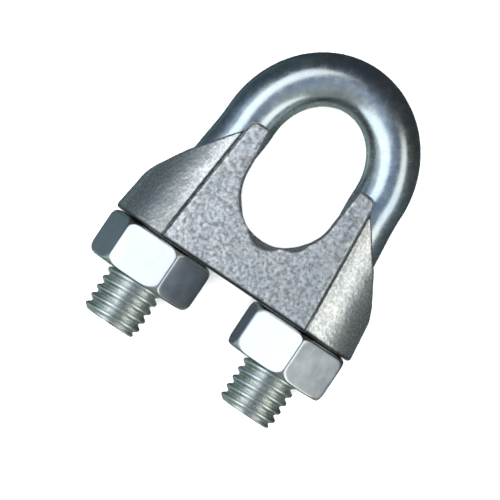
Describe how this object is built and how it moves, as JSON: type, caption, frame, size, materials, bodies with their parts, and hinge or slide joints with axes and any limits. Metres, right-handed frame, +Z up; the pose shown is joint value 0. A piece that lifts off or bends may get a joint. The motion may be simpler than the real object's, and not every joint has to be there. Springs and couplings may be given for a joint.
{
  "type": "wire rope clip",
  "caption": "Wire rope clip: a U-bolt with threaded legs, a cast saddle with a ribbed rope seat, and a hex nut on each leg that draws the saddle up.",
  "frame": {"origin": "centre of the clip's length and width, on the flat back of the saddle that it lies on", "axes": "+X across the two legs, +Y along the legs towards the bend of the U-bolt, +Z up out of the face that shows the U; a rope runs through it along Z"},
  "size_m": [0.0274, 0.0354, 0.0122],
  "materials": {
    "plated_rod": "smooth bright zinc plating, blue-grey",
    "galvanised_casting": "grainy sand-cast skin under a thin zinc coat, light grey",
    "plated_nut": "bright zinc plating with fine drawing marks"
  },
  "bodies": {
    "u_bolt": {"u_bolt": "plated_rod"},
    "saddle": {"saddle": "galvanised_casting"},
    "nut_left": {"nut_left": "plated_nut"},
    "nut_right": {"nut_right": "plated_nut"}
  },
  "joints": [
    {"name": "saddle_slide", "type": "slide", "parent": "u_bolt", "child": "saddle", "axis": [0, 1, 0], "range_m": [-0.0045, 0.003]},
    {"name": "nut_left_turn", "type": "hinge", "parent": "saddle", "child": "nut_left", "pos_m": [-0.008, -0.01058, 0.0061], "axis": [0, 1, 0], "range_deg": [-1621, 1081]},
    {"name": "nut_right_turn", "type": "hinge", "parent": "saddle", "child": "nut_right", "pos_m": [0.008, -0.01058, 0.0061], "axis": [0, 1, 0], "range_deg": [-1621, 1081]}
  ],
  "couplings": [
    {"joint": "nut_left_turn", "follows": "saddle_slide", "rad_per_m": 6283.2},
    {"joint": "nut_right_turn", "follows": "saddle_slide", "rad_per_m": 6283.2}
  ]
}
